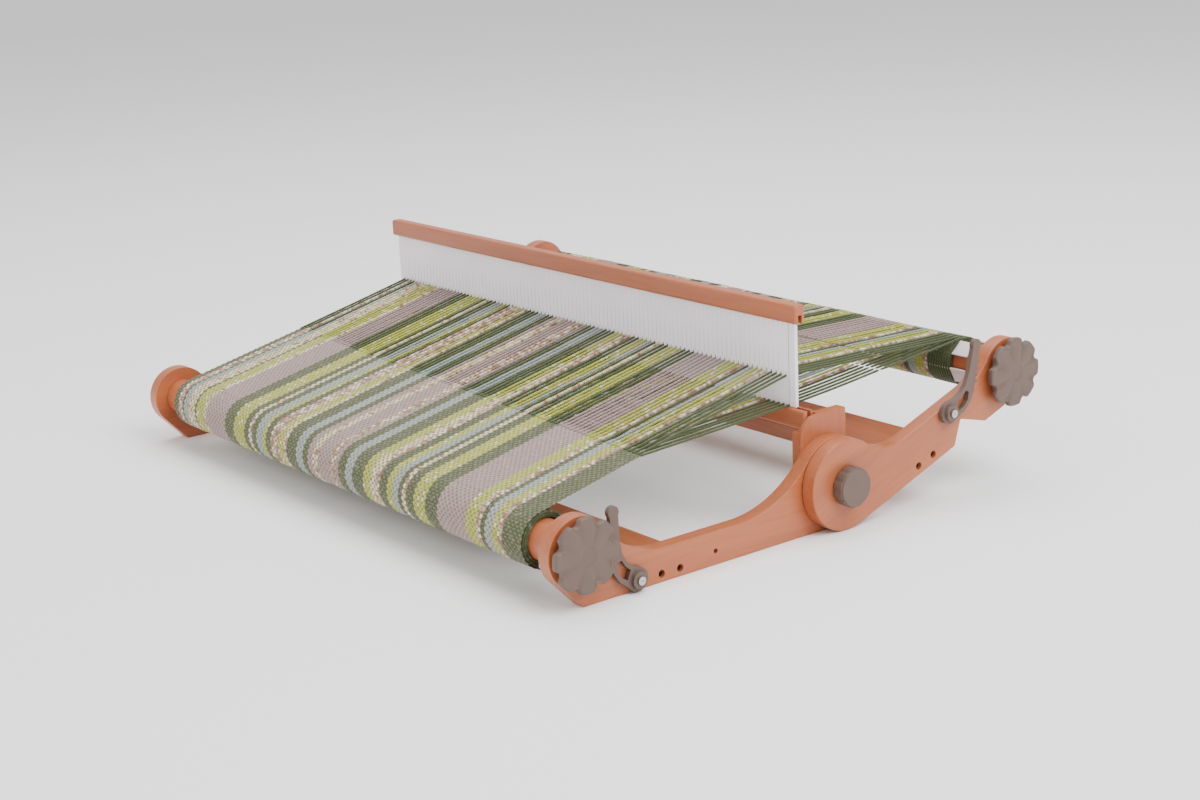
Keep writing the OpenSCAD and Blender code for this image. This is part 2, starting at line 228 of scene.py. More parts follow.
class Finish:
    """A material in the making. node() adds any node; the rest are short ways to the common ones."""

    def __init__(self, name, **fixed):
        self.material = bpy.data.materials.new(name)
        self.material.use_nodes = True
        self.tree = self.material.node_tree
        self.shader = self.tree.nodes["Principled BSDF"]
        for socket, value in fixed.items():
            self.shader.inputs[socket.replace("_", " ").title().replace("Ior", "IOR")].default_value = value

    def node(self, kind, settings=None, inputs=None, output=0):
        made = self.tree.nodes.new(kind)
        for setting, value in (settings or {}).items():
            setattr(made, setting, value)
        for socket, value in (inputs or {}).items():
            self.feed(made.inputs[socket], value)
        return Value(self, made.outputs[output])

    def feed(self, socket, value):
        if isinstance(value, Value):
            self.tree.links.new(value.socket, socket)
        elif socket.type == "RGBA" and len(value) == 3:
            socket.default_value = (*value, 1)
        else:
            socket.default_value = value

    def place(self, scale, tilt=0.0):
        """The point on the piece, turned about X by tilt and then stretched by scale."""
        point = self.node("ShaderNodeTexCoord", output=3)
        if tilt:
            point = self.node(
                "ShaderNodeVectorRotate",
                {"rotation_type": "X_AXIS"},
                {"Vector": point, "Angle": -tilt},
            )
        return self.node("ShaderNodeVectorMath", {"operation": "MULTIPLY"}, {0: point, 1: scale})

    def noise(self, point, scale=1.0, detail=2.0, rough=0.5):
        return self.node(
            "ShaderNodeTexNoise",
            {"noise_dimensions": "3D"},
            {"Vector": point, "Scale": scale, "Detail": detail, "Roughness": rough},
        )

    def mix(self, factor, first, second, blend="MIX"):
        return self.node(
            "ShaderNodeMix",
            {"data_type": "RGBA", "blend_type": blend},
            {0: factor, 6: first, 7: second},
            output=2,
        )

    def colour(self, value):
        self.feed(self.shader.inputs["Base Color"], value)

    def rough(self, value):
        self.feed(self.shader.inputs["Roughness"], value)

    def bump(self, height, distance, strength=1.0):
        inputs = {"Strength": strength, "Distance": distance, "Height": height}
        self.feed(self.shader.inputs["Normal"], self.node("ShaderNodeBump", None, inputs))


GRAIN = {"x": (1, 14, 14), "y": (14, 1, 14), "z": (14, 14, 1)}
finishes = {}


def beech(along, tilt=0.0):
    """Lacquered beech: soft figure, short ray flecks and a satin coat, with the grain along one axis."""
    name = "beech_" + along + ("_tilted" if tilt else "")
    if name in finishes:
        return finishes[name]
    hue = bpy.context.scene.loom_colours
    f = Finish(name, roughness=0.42, coat_weight=0.28, coat_roughness=0.28, specular_ior_level=0.4)
    grain = Vector(GRAIN[along])
    figure = f.noise(f.place(grain * 3.2, tilt), 1.0, 3.0, 0.55)
    bands = f.noise(f.place(grain * 16, tilt), 1.0, 2.0, 0.6)
    pores = f.noise(f.place(grain * 60, tilt), 1.0, 2.0, 0.6)
    flecks = f.noise(f.place(grain * 34 + Vector((120, 120, 120)), tilt), 1.0, 1.0, 0.5).between(0.6, 0.7)
    depth = figure.between(0.3, 0.72) * 0.5 + bands.between(0.38, 0.7) * 0.32
    wood = f.mix(depth, tuple(hue.beech), tuple(hue.beech_dark))
    wood = f.mix(flecks * 0.26, wood, paint(150, 92, 66))
    f.colour(f.mix(pores.between(0.52, 0.74) * 0.2, wood, paint(160, 104, 78)))
    f.rough(0.36 + pores * 0.14)
    f.bump(bands * 0.3 + pores * 0.7, 0.05 * MM, 0.5)
    finishes[name] = f.material
    return f.material


def speckled(name, base, grain=900.0, spread=0.16, rough=0.5, height=0.03 * MM, **fixed):
    """A moulded or turned surface: one colour with a fine mottling, an uneven gloss and a light texture."""
    if name in finishes:
        return finishes[name]
    f = Finish(name, **fixed)
    point = f.place((1, 1, 1))
    fine = f.noise(point, grain, 2.0)
    cloudy = f.noise(point, grain * 0.03, 2.0)
    shade = tuple(part * (1 - spread) for part in base)
    f.colour(f.mix(cloudy.between(0.3, 0.7) * 0.7 + fine * 0.3, shade, tuple(base)))
    f.rough(rough - 0.06 + cloudy * 0.12)
    f.bump(fine, height, 0.6)
    finishes[name] = f.material
    return f.material


def yarn_finish(name, twist, height):
    """Yarn in the colour that each end carries, with the ridges of its plies, painted shade in the grooves
    between them and a soft fuzz.
    """
    if name in finishes:
        return finishes[name]
    f = Finish(name, roughness=0.86, sheen_weight=0.25, sheen_roughness=0.5, specular_ior_level=0.15)
    dyed = f.node("ShaderNodeAttribute", {"attribute_name": "yarn"})
    run = f.node("ShaderNodeUVMap", {"uv_map": "run"})
    parts = f.node("ShaderNodeSeparateXYZ", None, {0: run})
    along = Value(f, parts.socket.node.outputs[0])
    round_it = Value(f, parts.socket.node.outputs[1])
    phase = (along * twist + round_it * 2) * (2 * pi)
    ridge = phase.maths("SINE", phase) * 0.5 + 0.5
    fuzz = f.noise(f.place((1, 1, 1)), 2600.0, 2.0)
    # Painted shade: the grooves between the plies are darkened towards near black, by up to three tenths;
    # the fuzz adds random darker fibres.
    f.colour(f.mix((1 - ridge) * 0.3 + fuzz * 0.16, dyed, (0.02, 0.018, 0.014)))
    f.rough(0.78 + fuzz * 0.16)
    f.bump(ridge * 0.8 + fuzz * 0.4, height, 0.7)
    finishes[name] = f.material
    return f.material


def cloth_finish():
    """Plain weave: each visible float takes the colour the mesh carries, its own yarn's colour with painted
    shade in the hollows, with fibres across it.
    """
    if "cloth" in finishes:
        return finishes["cloth"]
    f = Finish("cloth", roughness=0.9, sheen_weight=0.2, sheen_roughness=0.5, specular_ior_level=0.12)
    dyed = f.node("ShaderNodeAttribute", {"attribute_name": "yarn"})
    point = f.place((1, 1, 1))
    fuzz = f.noise(point, 2200.0, 3.0)
    uneven = f.noise(point, 260.0, 2.0)
    shaded = f.mix(fuzz.between(0.35, 0.75) * 0.22, dyed, (0.03, 0.026, 0.022))
    f.colour(f.mix(uneven.between(0.5, 0.8) * 0.16, shaded, (0.7, 0.64, 0.6)))
    f.rough(0.8 + fuzz * 0.15)
    f.bump(fuzz * 0.6 + uneven * 0.4, 0.12 * MM, 0.8)
    finishes["cloth"] = f.material
    return f.material


# ---------------------------------------------------------------------------
# Mesh making
# ---------------------------------------------------------------------------


def publish(name, mesh, material, smooth=True):
    """Puts a mesh in the scene with its material."""
    made = bpy.data.objects.new(name, mesh)
    bpy.context.scene.collection.objects.link(made)
    mesh.materials.clear()
    mesh.materials.append(material)
    if smooth:
        mesh.shade_smooth()
    return made


def woven_mesh(name, points, faces, dyes_and_shade=None, run=None):
    """A mesh from arrays, with the yarn's colour at each point, painted shade included where the caller has
    darkened it, and its run as UVs.
    """
    mesh = bpy.data.meshes.new(name)
    mesh.from_pydata(points.reshape(-1, 3).tolist(), [], faces.tolist())
    if dyes_and_shade is not None:
        layer = mesh.color_attributes.new("yarn", "FLOAT_COLOR", "POINT")
        shades = np.ones((len(mesh.vertices), 4), np.float32)
        shades[:, :3] = dyes_and_shade.reshape(-1, 3)
        layer.data.foreach_set("color", shades.ravel())
    if run is not None:
        corner = np.zeros(len(mesh.loops), np.int32)
        mesh.loops.foreach_get("vertex_index", corner)
        layer = mesh.uv_layers.new(name="run")
        layer.data.foreach_set("uv", run.reshape(-1, 2)[corner].astype(np.float32).ravel())
    mesh.validate()
    return mesh


def quads(rows, columns, wrap=False):
    """Faces of a grid of points given row by row; wrap joins the last column to the first."""
    r, c = np.meshgrid(np.arange(rows - 1), np.arange(columns - (not wrap)), indexing="ij")
    a, b = r * columns + c, r * columns + (c + 1) % columns
    return np.stack([a, b, b + columns, a + columns], -1).reshape(-1, 4)


def pairs(count):
    """Each place round a ring with the next."""
    return [(i, (i + 1) % count) for i in range(count)]


def chains(edges):
    """Groups of edges that touch one another."""
    left, found = set(edges), []
    while left:
        group, front = set(), [left.pop()]
        while front:
            edge = front.pop()
            group.add(edge)
            for corner in edge.verts:
                for near in corner.link_edges:
                    if near in left:
                        left.discard(near)
                        front.append(near)
        found.append(group)
    return found


def bevelled(made, width, segments, method="WEIGHT"):
    bevel = made.modifiers.new("rounded", "BEVEL")
    bevel.limit_method = method
    bevel.width = width
    bevel.segments = segments
    bevel.harden_normals = True
    return bevel


def rounded(name, mesh, material, edge, small_edge, small=30 * MM, segments=3):
    """Joins a mesh's flat facets and rounds its sharp edges: outlines smaller than small, less."""
    flat, sharp_from = radians(1), radians(28)
    bm = bmesh.new()
    bm.from_mesh(mesh)
    bmesh.ops.remove_doubles(bm, verts=bm.verts, dist=1e-5)
    bmesh.ops.dissolve_limit(bm, angle_limit=flat, verts=bm.verts, edges=bm.edges)
    weights = bm.edges.layers.float.new("bevel_weight_edge")
    sharp = [e for e in bm.edges if len(e.link_faces) == 2 and e.calc_face_angle() > sharp_from]
    for group in chains(sharp):
        spots = np.array([corner.co for e in group for corner in e.verts])
        size = np.linalg.norm(spots.max(0) - spots.min(0))
        for e in group:
            e[weights] = small_edge / edge if size < small else 1.0
    bm.to_mesh(mesh)
    bm.free()
    made = publish(name, mesh, material)
    bevelled(made, edge, segments).miter_outer = "MITER_ARC"
    made.modifiers.new("even", "WEIGHTED_NORMAL").keep_sharp = True
    return made


def stand_in(node, suffix, material, edge, small_edge, small=30 * MM, segments=3):
    """A finished part made from a CAD part's own shape, in that part's place."""
    made = rounded(
        node + suffix, frame["nodes"][node].data.copy(), material, edge, small_edge, small, segments
    )
    settle(made, node)
    return made


def settle(made, node):
    """Puts a finished part on the CAD part's body, in its stead."""
    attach(made, BODY_OF[node])
    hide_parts(node)


class Piece:
    """What the operators share."""

    bl_options = {"REGISTER", "UNDO"}

    @property
    def sizes(self):
        return bpy.context.scene.loom_sizes

    @property
    def hues(self):
        return bpy.context.scene.loom_colours


# ---------------------------------------------------------------------------
# Timber
# ---------------------------------------------------------------------------


class LOOM_OT_timber(Piece, bpy.types.Operator):
    """Arms, rails, posts and rollers in rounded, lacquered beech"""

    bl_idname = "loom.timber"
    bl_label = "Timber"

    GRAIN_OF = {
        "front_arm_left": "y", "front_arm_right": "y", "reed_post_left": "z", "reed_post_right": "z",
        "front_rail": "x", "rear_rail": "x", "front_roller": "x", "rear_roller": "x",
        "rear_arm_left": "y", "rear_arm_right": "y",
    }

    def execute(self, context):
        for node, along in self.GRAIN_OF.items():
            tilt = REAR_SLOPE if node.startswith("rear_arm") else 0.0
            edge = 1.2 * MM if "roller" in node else self.sizes.edge
            stand_in(node, "_timber", beech(along, tilt), edge, self.sizes.bore_edge)
        return {"FINISHED"}


def bar_section(low, high, groove, upwards):
    """Outline of a reed bar's end in Y and Z, with the groove that holds the plate."""
    y0, y1, z0, z1 = low[1], high[1], low[2], high[2]
    outline = [(y0, z0), (y1, z0), (y1, z1), (y0, z1)]
    sign, mouth, follows = (1, z1, 3) if upwards else (-1, z0, 1)
    first, last = (y0 + y1) / 2 + sign * groove / 2, (y0 + y1) / 2 - sign * groove / 2
    bed = mouth - sign * 8.5 * MM
    cut = [(first, mouth), (first, bed), (last, bed), (last, mouth)]
    return outline[:follows] + cut + outline[follows:]


class LOOM_OT_reed(Piece, bpy.types.Operator):
    """The reed: two grooved bars and a plate of ribs with eyes and slots between them"""

    bl_idname = "loom.reed"
    bl_label = "Reed"

    def bar(self, node, upwards):
        low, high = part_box(node)
        section = bar_section(low, high, 4.4 * MM, upwards)
        bm = bmesh.new()
        ends = []
        for x in (low[0], high[0]):
            ends.append([bm.verts.new((x, y, z)) for y, z in section])
        bm.faces.new(ends[1])
        bm.faces.new(list(reversed(ends[0])))
        for i, j in pairs(len(section)):
            bm.faces.new((ends[0][i], ends[0][j], ends[1][j], ends[1][i]))
        weights = bm.edges.layers.float.new("bevel_weight_edge")
        corners = {(low[1], low[2]), (low[1], high[2]), (high[1], low[2]), (high[1], high[2])}
        for e in bm.edges:
            outer = all(
                any(abs(v.co.y - y) < 1e-6 and abs(v.co.z - z) < 1e-6 for y, z in corners) for v in e.verts
            )
            e[weights] = 1.0 if outer else 0.2
        mesh = bpy.data.meshes.new(node + "_timber")
        bm.normal_update()
        bm.to_mesh(mesh)
        bm.free()
        made = publish(node + "_timber", mesh, beech("x"))
        bevelled(made, self.sizes.edge, 3)
        settle(made, node)

    def plate(self):
        low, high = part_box("reed_plate")
        pitch = 2 * END_PITCH_REED
        half = (pitch - self.sizes.slot) / 2
        thick = high[1] - low[1]
        count = len(ENDS) // 2
        bm = bmesh.new()
        for k in range(count):
            x = -count * pitch / 2 + (k * 2 + 0.5) * END_PITCH_REED
            self.add_rib(bm, x, half, low[2], high[2], thick)
        edge = count * pitch / 2 - END_PITCH_REED / 2 + 0.6 * MM
        for side in (-1, 1):
            inner = edge if side > 0 else edge + END_PITCH_REED
            self.add_block(bm, sorted((side * inner, side * high[0])), low[1:], high[1:])
        for z0, z1 in ((low[2], low[2] + 1 * MM), (high[2] - 1 * MM, high[2])):
            self.add_block(bm, (low[0], high[0]), (low[1] + 0.4 * MM, z0), (high[1] - 0.4 * MM, z1))
        mesh = bpy.data.meshes.new("reed_ribs")
        bm.to_mesh(mesh)
        bm.free()
        base = tuple(self.hues.reed)
        material = speckled("reed_plastic", base, 700.0, 0.05, 0.36, 0.02 * MM, coat_weight=0.1)
        made = publish("reed_ribs", mesh, material, smooth=False)
        bevelled(made, 0.45 * MM, 2, "ANGLE").angle_limit = radians(50)
        settle(made, "reed_plate")

    def add_block(self, bm, xs, low, high):
        corners = [
            bm.verts.new((x, y, z)) for x in xs for y in (low[0], high[0]) for z in (low[1], high[1])
        ]
        for face in ((0, 1, 3, 2), (4, 6, 7, 5), (0, 4, 5, 1), (2, 3, 7, 6), (0, 2, 6, 4), (1, 5, 7, 3)):
            bm.faces.new([corners[i] for i in face])

    def add_rib(self, bm, x, half, z0, z1, thick):
        """One rib: a flat strip with an oval eye through it."""
        sides, reach, rise = 12, (1, 0.5, 0, -0.5, -1), 5 * MM
        turn = [i * 2 * pi / sides for i in range(sides)]
        eye = [(x + 0.95 * MM * cos(a), EYE_Z + 2.6 * MM * sin(a)) for a in turn]
        above = [(x + half * part, EYE_Z + rise) for part in reach]
        below = [(x - half * part, EYE_Z - rise) for part in reach]
        window = [(x + half, EYE_Z), *above, (x - half, EYE_Z), *below]
        layers = []
        for y in (REED_Y - thick / 2, REED_Y + thick / 2):
            inner = [bm.verts.new((px, y, pz)) for px, pz in eye]
            outer = [bm.verts.new((px, y, pz)) for px, pz in window]
            top = [bm.verts.new((px, y, z1)) for px, _ in above]
            bottom = [bm.verts.new((px, y, z0)) for px, _ in below]
            rim = [*outer[:2], *top, *outer[5:8], *bottom, outer[-1]]
            layers.append((inner, rim))
            rings = [(outer[i], inner[i], inner[j], outer[j]) for i, j in pairs(sides)]
            for row, start in ((top, 1), (bottom, 7)):
                rings += [(row[i], outer[i + start], outer[i + start + 1], row[i + 1]) for i in range(4)]
            for ring in rings:
                bm.faces.new(ring if y > REED_Y else ring[::-1])
        (inner0, rim0), (inner1, rim1) = layers
        for i, j in pairs(sides):
            bm.faces.new((inner0[i], inner1[i], inner1[j], inner0[j]))
        for i, j in pairs(len(rim0)):
            bm.faces.new((rim0[i], rim0[j], rim1[j], rim1[i]))

    def execute(self, context):
        self.bar("reed_top_bar", upwards=False)
        self.bar("reed_bottom_bar", upwards=True)
        self.plate()
        return {"FINISHED"}


# ---------------------------------------------------------------------------
# Fittings
# ---------------------------------------------------------------------------


class LOOM_OT_ratchets(Piece, bpy.types.Operator):
    """The two lobed ratchet wheels, crowned and creased from each notch towards the hub"""

    bl_idname = "loom.ratchets"
    bl_label = "Ratchet wheels"

    LOBES, RING_NOTCHES = 8, 16
    NOTCH_AT = {"front_cog": 20.0, "rear_cog": 21.5}
    WHEEL_R, WHEEL_T, RING_R, RING_T = 35.5 * MM, 6.6 * MM, 27 * MM, 5.8 * MM

    def outline(self, radius, lobes, notch_r, proud, notch_at, easing):
        """Angle, radius and depth of notch round a disc with round notches, its corners eased."""
        steps = lobes * (240 // lobes)
        turn = np.arange(steps) * 2 * pi / steps
        from_notch = (turn + pi / lobes) % (2 * pi / lobes) - pi / lobes
        across = radius + proud
        under = notch_r ** 2 - (across * np.sin(from_notch)) ** 2
        notch = across * np.cos(from_notch) - np.sqrt(np.maximum(under, 0))
        reach = np.where(under > 0, np.minimum(notch, radius), radius)
        for _ in range(easing):
            reach = (np.roll(reach, 1) + 2 * reach + np.roll(reach, -1)) / 4
        return turn + notch_at, reach, np.exp(-((from_notch / 0.13) ** 2))

    def rings(self, middle, turn, reach, profile):
        """Points of an outline at each (share of its radius, x)."""
        around = np.stack([np.cos(turn), np.sin(turn)], -1) * reach[:, None]
        made = []
        for share, x in profile:
            flat = np.array([middle.y, middle.z]) + share * around
            made.append(np.column_stack([np.full(len(turn), x), flat]))
        return made

    def wheel(self, middle, face_x, notch_at):
        """The lobed wheel: flat back, rounded rim and a face creased inwards from each notch."""
        back_x = face_x - self.WHEEL_T
        turn, reach, valley = self.outline(self.WHEEL_R, self.LOBES, 5.3 * MM, 0.4 * MM, notch_at, 3)
        profile = [(0.0, back_x), (0.4, back_x), (0.8, back_x), (0.97, back_x), (0.99, back_x + 0.3 * MM)]
        profile += [(1.0, back_x + rise * MM) for rise in (0.9, 3.0, 4.6)]
        profile += [(0.99, back_x + 5.5 * MM), (0.965, back_x + 6.15 * MM), (0.93, back_x + 6.5 * MM)]
        points = self.rings(middle, turn, reach, profile)
        for share in (0.88, 0.8, 0.7, 0.6, 0.5, 0.4, 0.3, 0.255, 0.24, 0.2, 0.1, 0.0):
            fade = max(0.0, min(1.0, (share - 0.2) / 0.6))
            radius = share * (reach * fade + self.WHEEL_R * (1 - fade))
            hub = 0.4 * MM if share < 0.25 else 0.0
            crown = 0.5 * MM * cos(share * pi / 2)
            x = face_x - 0.5 * MM - 1.3 * MM * valley * fade ** 1.4 - hub + crown
            points.append(np.column_stack([
                x, middle.y + radius * np.cos(turn), middle.z + radius * np.sin(turn)
            ]))
        return points

    def execute(self, context):
        material = speckled("nylon", self.hues.nylon, 1400.0, 0.14, 0.5, 0.03 * MM)
        for node, notch_at in self.NOTCH_AT.items():
            low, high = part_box(node)
            middle = centre(node)
            ring_x = high[0] - self.WHEEL_T - self.RING_T
            turn, reach, _ = self.outline(
                self.RING_R, self.RING_NOTCHES, 2.4 * MM, 0.5 * MM, radians(notch_at), 1
            )
            steps = ((0.0, 0.0), (0.7, 0.0), (0.97, 0.0), (1.0, 0.5), (1.0, 3.0), (1.0, 6.0), (0.0, 6.0))
            ring = self.rings(middle, turn, reach, [(share, ring_x + rise * MM) for share, rise in steps])
            bm = bmesh.new()
            for points in (self.wheel(middle, high[0], radians(notch_at)), ring):
                shell = woven_mesh("shell", np.array(points), quads(len(points), len(points[0]), wrap=True))
                bm.from_mesh(shell)
                bpy.data.meshes.remove(shell)
            bmesh.ops.remove_doubles(bm, verts=bm.verts, dist=1e-6)
            self.spigot(bm, low[0], ring_x, middle)
            bmesh.ops.recalc_face_normals(bm, faces=bm.faces)
            mesh = bpy.data.meshes.new(node + "_moulded")
            bm.to_mesh(mesh)
            bm.free()
            made = publish(node + "_moulded", mesh, material)
            mesh.set_sharp_from_angle(angle=radians(50))
            settle(made, node)
        return {"FINISHED"}

    def spigot(self, bm, x0, x1, middle):
        """The stem behind the wheel, chamfered at its tip."""
        steps, radius = 40, 6.9 * MM
        stem = []
        turn = [i * 2 * pi / steps for i in range(steps)]
        for x, r in ((x0, 4.5 * MM), (x0 + 1.6 * MM, radius), (x1 + 0.2 * MM, radius)):
            stem.append([bm.verts.new((x, middle.y + r * cos(a), middle.z + r * sin(a))) for a in turn])
        bm.faces.new(stem[0])
        bm.faces.new(stem[-1])
        for first, second in zip(stem, stem[1:]):
            for i, j in pairs(steps):
                bm.faces.new((first[i], first[j], second[j], second[i]))


class LOOM_OT_fittings(Piece, bpy.types.Operator):
    """Pawls, fold knobs, screws, bolts, washers and the sticks"""

    bl_idname = "loom.fittings"
    bl_label = "Fittings"

    def execute(self, context):
        nylon = speckled("nylon", self.hues.nylon, 1400.0, 0.14, 0.5, 0.03 * MM)
        for node in ("front_pawl", "rear_pawl", "fold_knob_left", "fold_knob_right"):
            stand_in(node, "_moulded", nylon, self.sizes.moulded_edge, 0.3 * MM, 12 * MM, 2)
        card = speckled("card", self.hues.card, 500.0, 0.1, 0.6, 0.03 * MM)
        for node in ("warp_sticks", "front_tie_stick"):
            stand_in(node, "_planed", card, 0.5 * MM, 0.3 * MM, 5 * MM, 2)
        bright = speckled("steel", paint(200, 198, 194), 1500.0, 0.2, 0.34, 0.01 * MM, metallic=1.0)
        black = speckled("dark_steel", paint(70, 68, 66), 1500.0, 0.25, 0.42, 0.01 * MM, metallic=1.0)
        for node, mesh_object in frame["nodes"].items():
            if any(word in node for word in ("screw", "bolt", "washer", "nut")):
                dark = "rail_screws" in node or "post_screws" in node
                mesh_object.data.materials.clear()
                mesh_object.data.materials.append(black if dark else bright)
        return {"FINISHED"}


# ---------------------------------------------------------------------------
# Yarn and cloth
# ---------------------------------------------------------------------------

# Spacing of the ends in the cloth, in the reed and on the warp roller
END_PITCH_CLOTH, END_PITCH_REED, END_PITCH_ROLL = 3.4 * MM, 3.45 * MM, 3.5 * MM
FANCY = ("cream", "rose")
IS_FANCY = np.array([name in FANCY for name in ENDS])
# Turns of ply per centimetre and depth of the ridges, for all the yarn
TWIST, PLY_RIDGE = 2.0, 0.25 * MM


def end_x(pitch):
    """Place across the loom of each warp end."""
    count = len(ENDS)
    return (np.arange(count) - (count - 1) / 2) * pitch


def dye(hues, count, draw, which=None):
    """Colour of each warp end along its length, with flecks in the fancy yarns: (ends, count, 3)."""
    names = ENDS if which is None else [ENDS[i] for i in which]
    base = np.array([tuple(getattr(hues, name)) for name in names])
    shades = np.repeat(base[:, None, :], count, 1)
    shades *= 1 + 0.08 * (draw.random((len(names), 1, 1)) - 0.5)
    shades *= 1 + 0.14 * (draw.random((len(names), count, 1)) - 0.5)
    light, warm = np.array(paint(226, 216, 186)), np.array(paint(150, 108, 84))
    for i, name in enumerate(names):
        if name in FANCY:
            luck = draw.random(count)
            shades[i, luck > 0.7] = light
            shades[i, luck < (0.3 if name == "rose" else 0.12)] = warm
        elif name == "lime":
            shades[i, draw.random(count) > 0.92] = light * 0.9
    return np.clip(shades, 0, 1)


def yarn_tubes(name, paths, which, sizes, hues, draw, sides=6):
    """Warp ends as tubes along paths, given as (ends, rings, 3); fancy yarns are lumpy."""
    ends, rings = paths.shape[:2]
    fancy = IS_FANCY[which]
    radius = np.where(fancy, sizes.bulk, sizes.yarn)[:, None] * np.ones((1, rings))
    radius *= 1 + np.where(fancy, 0.5, 0.1)[:, None] * (draw.random((ends, rings)) - 0.4)
    radius[:, [0, -1]] *= 0.2
    along = np.gradient(paths, axis=1)
    along /= np.linalg.norm(along, axis=2, keepdims=True)
    side = np.array([1.0, 0, 0]) - along * along[..., :1]
    side /= np.linalg.norm(side, axis=2, keepdims=True)
    up = np.cross(side, along)
    turn = np.arange(sides) * 2 * pi / sides
    ring = side[:, :, None] * np.cos(turn)[:, None] + up[:, :, None] * np.sin(turn)[:, None]
    points = paths[:, :, None] + radius[:, :, None, None] * ring
    one = quads(rings, sides, wrap=True)
    faces = (one[None] + (np.arange(ends) * rings * sides)[:, None, None]).reshape(-1, 4)
    shades = np.repeat(dye(hues, rings, draw, which)[:, :, None], sides, 2)
    steps = np.linalg.norm(np.diff(paths, axis=1), axis=2)
    run = np.concatenate([np.zeros((ends, 1)), np.cumsum(steps, 1)], 1)
    run = np.repeat(run[:, :, None], sides, 2)
    round_it = np.broadcast_to(turn / (2 * pi), run.shape)
    mesh = woven_mesh(name, points, faces, shades, np.stack([run / CM, round_it], -1))
    return publish(name, mesh, yarn_finish("yarn", TWIST, PLY_RIDGE))


def fell_y(x):
    """Where the weaving has got to: further on at the left than at the right."""
    return FELL_MIDDLE - FELL_SKEW * x / CLOTH_WIDTH


def web_z(y):
    """Height of the flat web and the upper warp at y, in front of the reed."""
    return WEB_START[1] + (y - WEB_START[0]) * WEB_SLOPE


def around(axis, x, radius, turn):
    """Points on a roll about an axis, from arrays that broadcast to one grid."""
    rolled = (x, axis[0] + radius * np.cos(turn), axis[1] + radius * np.sin(turn))
    return np.stack(np.broadcast_arrays(*rolled), -1)


def lines(first, last, rings, sag, draw):
    """Paths from first to last, both (ends, 3), each with a small sag and waver of its own."""
    share = np.linspace(0, 1, rings)[None, :, None]
    paths = first[:, None] * (1 - share) + last[:, None] * share
    swell = np.sin(share[..., 0] * pi)
    paths[:, :, 2] -= swell * sag * draw.random((len(first), 1))
    paths[:, :, 0] += swell * 0.3 * MM * (draw.random((len(first), 1)) - 0.5)
    return paths


